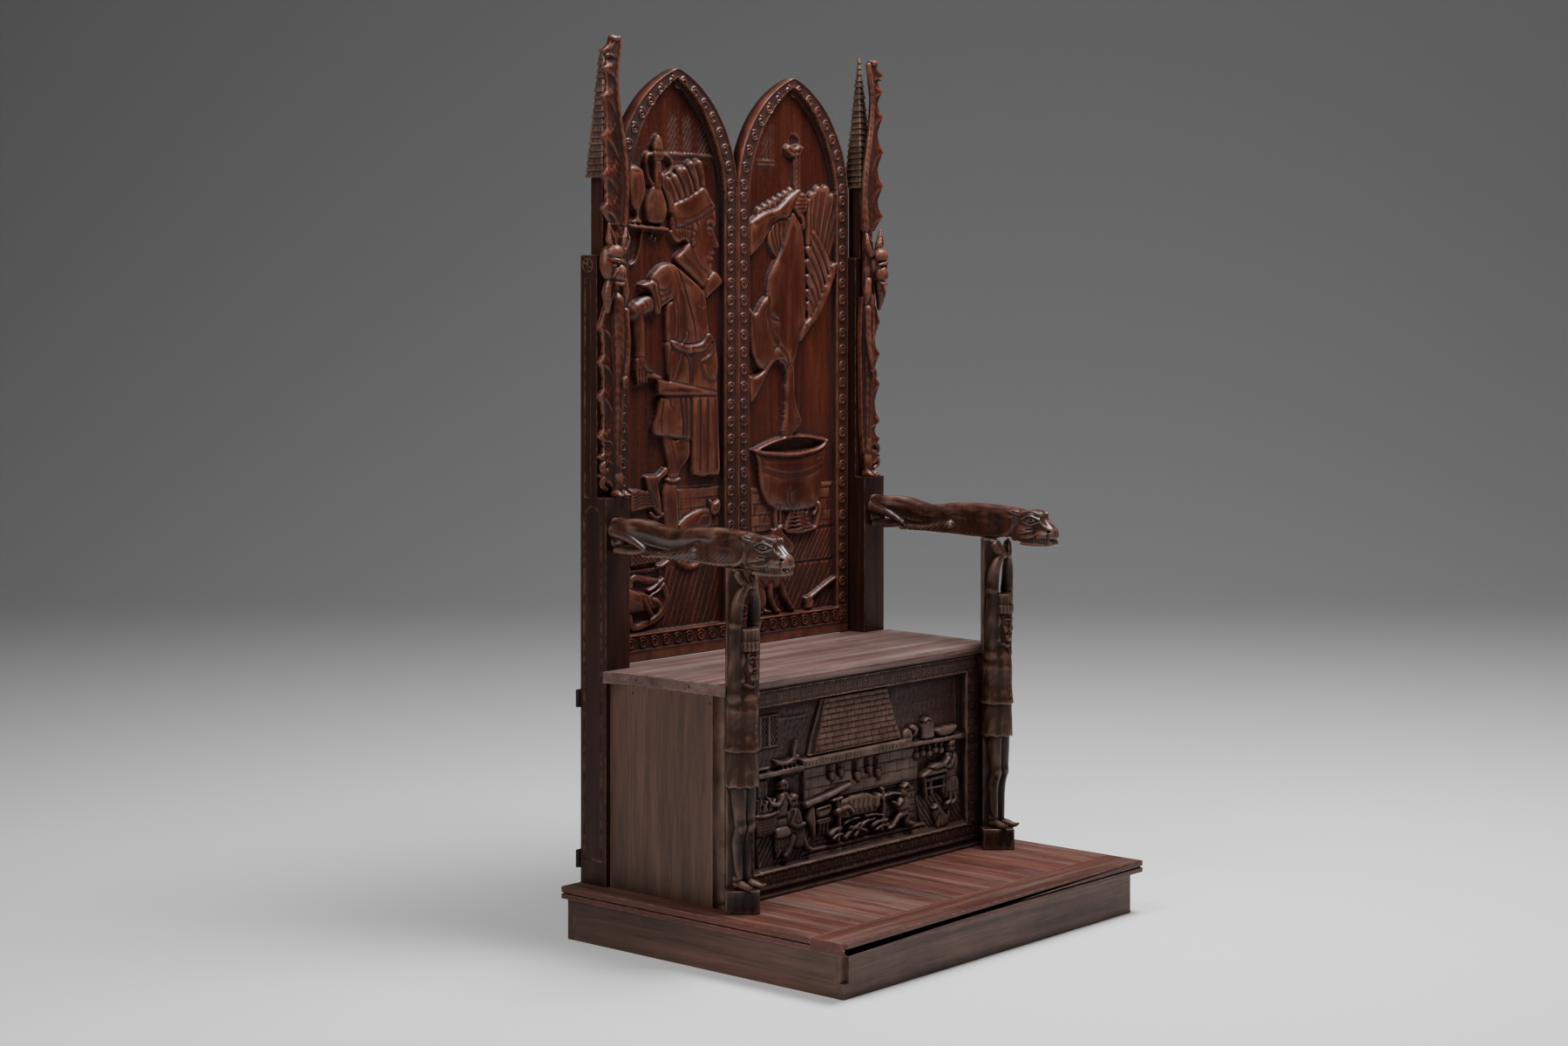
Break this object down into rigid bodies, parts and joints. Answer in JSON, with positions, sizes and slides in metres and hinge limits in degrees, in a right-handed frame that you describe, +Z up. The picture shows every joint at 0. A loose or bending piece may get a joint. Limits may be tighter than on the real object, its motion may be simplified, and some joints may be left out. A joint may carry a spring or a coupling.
{
  "type": "carved throne",
  "caption": "High-backed carved wooden throne on a stepped platform: twin pointed relief panels, spired posts with winged grotesques, beast armrests on standing figures, chest seat.",
  "frame": {"origin": "on the floor under the middle of the overall width and depth", "axes": "+Z up, +Y towards the back, +X towards the viewer's right when facing the front"},
  "size_m": [1.06, 0.8078, 1.984],
  "materials": {
    "carved_wood": "waxed dark oak, worn to a sheen on the high spots",
    "post_wood": "dark stained oak, satin",
    "front_panel_wood": "dark brown oak, dusty in the recesses",
    "side_wood": "grey-brown oak, dry satin",
    "seat_wood": "worn oak, satin",
    "tread_wood": "red-brown boards with dusty wear",
    "iron": "blackened"
  },
  "bodies": {
    "throne": {"back_panel_left": "carved_wood", "back_panel_right": "carved_wood", "grotesque_left": "carved_wood", "grotesque_right": "carved_wood", "arm_beast_left": "carved_wood", "arm_beast_right": "carved_wood", "arm_figure_left": "carved_wood", "arm_figure_right": "carved_wood", "post_left": "post_wood", "post_right": "post_wood", "spire_left": "post_wood", "spire_right": "post_wood", "chest_front_panel": "front_panel_wood", "chest_side_left": "side_wood", "chest_side_right": "side_wood", "platform_skirt_front": "side_wood", "platform_skirt_back": "side_wood", "platform_skirt_left": "side_wood", "platform_skirt_right": "side_wood", "seat_board": "seat_wood", "seat_rear_board": "seat_wood", "seat_end_strip": "seat_wood", "platform_front_board": "tread_wood", "platform_plank_1": "tread_wood", "platform_plank_2": "tread_wood", "platform_plank_3": "tread_wood", "platform_plank_4": "tread_wood", "platform_plank_5": "tread_wood", "hinge_lower_post_leaf": "iron", "hinge_upper_post_leaf": "iron"},
    "rear_door": {"chest_rear_door": "side_wood", "hinge_lower_door_leaf": "iron", "hinge_upper_door_leaf": "iron"}
  },
  "joints": [
    {"name": "rear_door_hinge", "type": "hinge", "parent": "throne", "child": "rear_door", "pos_m": [-0.481, 0.3984, 0.345], "axis": [0, 0, 1], "range_deg": [0, 110]}
  ]
}
